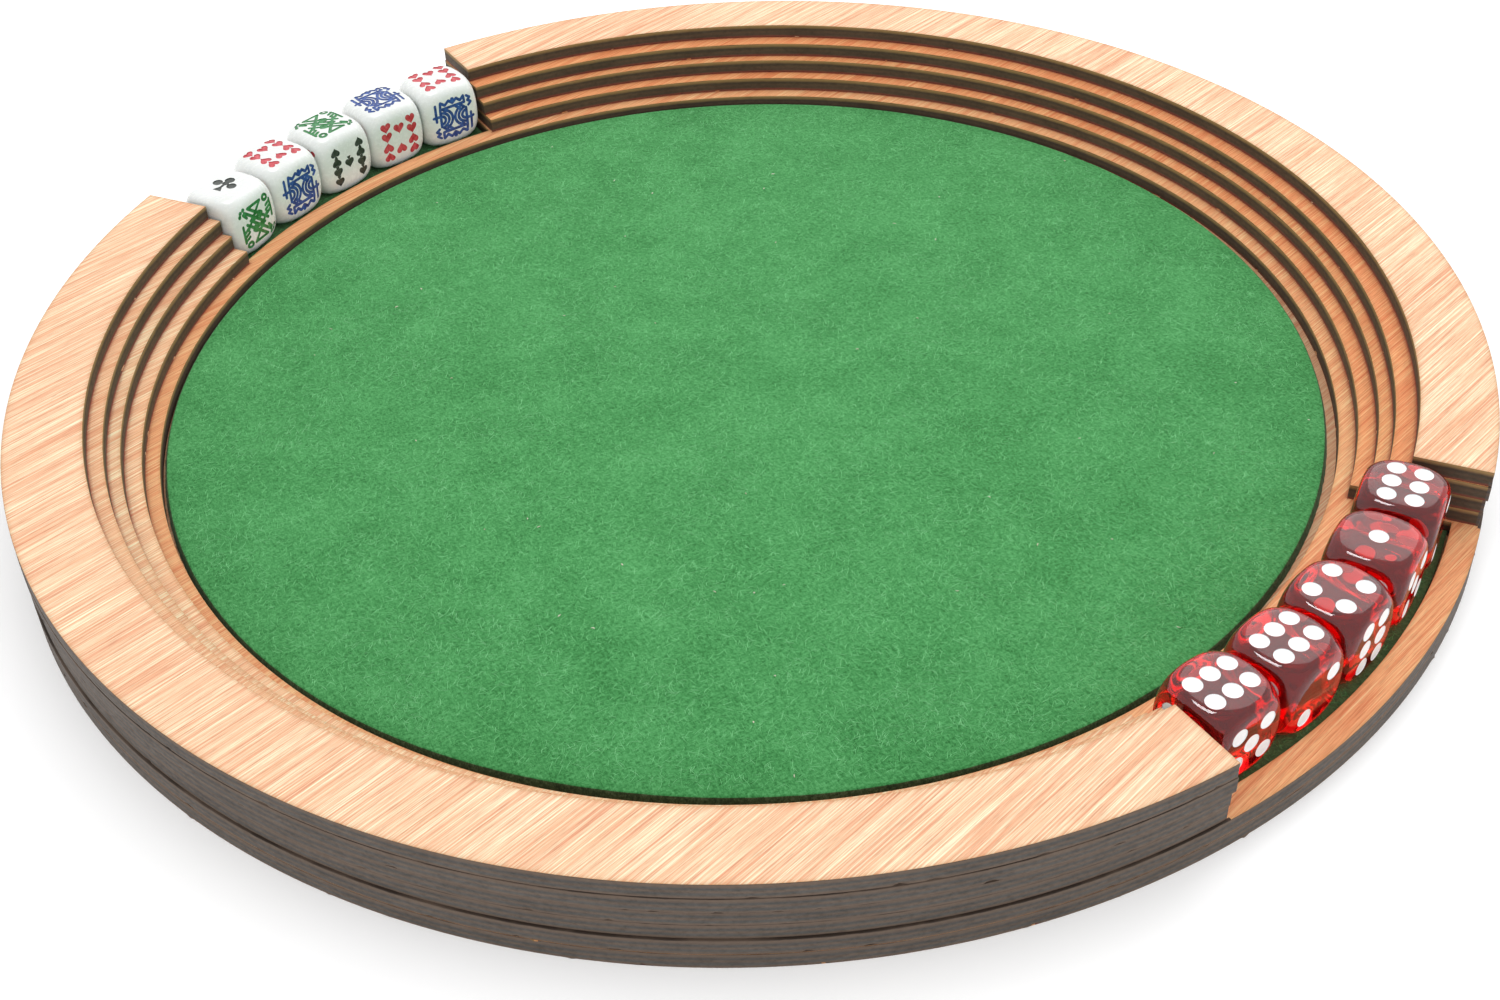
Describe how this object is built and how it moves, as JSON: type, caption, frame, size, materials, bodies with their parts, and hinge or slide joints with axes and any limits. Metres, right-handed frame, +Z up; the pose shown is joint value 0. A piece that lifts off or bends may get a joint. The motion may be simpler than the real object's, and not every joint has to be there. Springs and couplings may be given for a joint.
{
  "type": "dice tray",
  "caption": "Round stepped dice tray of laser-cut plywood layers, with a felt rolling surface and open slots in its wall that each hold a row of rounded dice.",
  "frame": {"origin": "centre of the tray's underside", "axes": "+Z up, +X through the middle of the slot that holds the red dice, the poker dice on -X"},
  "size_m": [0.3, 0.3, 0.0206],
  "materials": {
    "plywood": "bare, lightly sanded peach veneer with fine straight grain",
    "charred_edge": "laser-cut edge, charred dark brown with fine vertical striations",
    "green_felt": "thick craft felt, short matted fibres",
    "red_resin": "clear red cast resin, polished",
    "white_resin": "opaque white resin, polished",
    "white_paint": "paint in the pips",
    "black_paint": "paint in engraved marks",
    "red_paint": "paint in engraved marks",
    "blue_paint": "paint in engraved marks",
    "green_paint": "paint in engraved marks"
  },
  "bodies": {
    "tray": {"base_board": "plywood", "pocket_ring": "plywood", "front_arc_1": "plywood", "front_arc_2": "plywood", "front_arc_3": "plywood", "front_arc_4": "plywood", "rear_arc_1": "plywood", "rear_arc_2": "plywood", "rear_arc_3": "plywood", "rear_arc_4": "plywood", "rolling_mat": "green_felt", "red_pocket_liner": "green_felt", "poker_pocket_liner": "green_felt"},
    "red_die_a": {"red_die_1": "red_resin"},
    "red_die_b": {"red_die_2": "red_resin"},
    "red_die_c": {"red_die_3": "red_resin"},
    "red_die_d": {"red_die_4": "red_resin"},
    "red_die_e": {"red_die_5": "red_resin"},
    "poker_die_a": {"poker_die_1": "white_resin"},
    "poker_die_b": {"poker_die_2": "white_resin"},
    "poker_die_c": {"poker_die_3": "white_resin"},
    "poker_die_d": {"poker_die_4": "white_resin"},
    "poker_die_e": {"poker_die_5": "white_resin"}
  },
  "joints": [
    {"name": "lift_red_die_a", "type": "slide", "parent": "tray", "child": "red_die_a", "axis": [0, 0, 1], "range_m": [0, 0.03]},
    {"name": "lift_red_die_b", "type": "slide", "parent": "tray", "child": "red_die_b", "axis": [0, 0, 1], "range_m": [0, 0.03]},
    {"name": "lift_red_die_c", "type": "slide", "parent": "tray", "child": "red_die_c", "axis": [0, 0, 1], "range_m": [0, 0.03]},
    {"name": "lift_red_die_d", "type": "slide", "parent": "tray", "child": "red_die_d", "axis": [0, 0, 1], "range_m": [0, 0.03]},
    {"name": "lift_red_die_e", "type": "slide", "parent": "tray", "child": "red_die_e", "axis": [0, 0, 1], "range_m": [0, 0.03]},
    {"name": "lift_poker_die_a", "type": "slide", "parent": "tray", "child": "poker_die_a", "axis": [0, 0, 1], "range_m": [0, 0.03]},
    {"name": "lift_poker_die_b", "type": "slide", "parent": "tray", "child": "poker_die_b", "axis": [0, 0, 1], "range_m": [0, 0.03]},
    {"name": "lift_poker_die_c", "type": "slide", "parent": "tray", "child": "poker_die_c", "axis": [0, 0, 1], "range_m": [0, 0.03]},
    {"name": "lift_poker_die_d", "type": "slide", "parent": "tray", "child": "poker_die_d", "axis": [0, 0, 1], "range_m": [0, 0.03]},
    {"name": "lift_poker_die_e", "type": "slide", "parent": "tray", "child": "poker_die_e", "axis": [0, 0, 1], "range_m": [0, 0.03]}
  ]
}
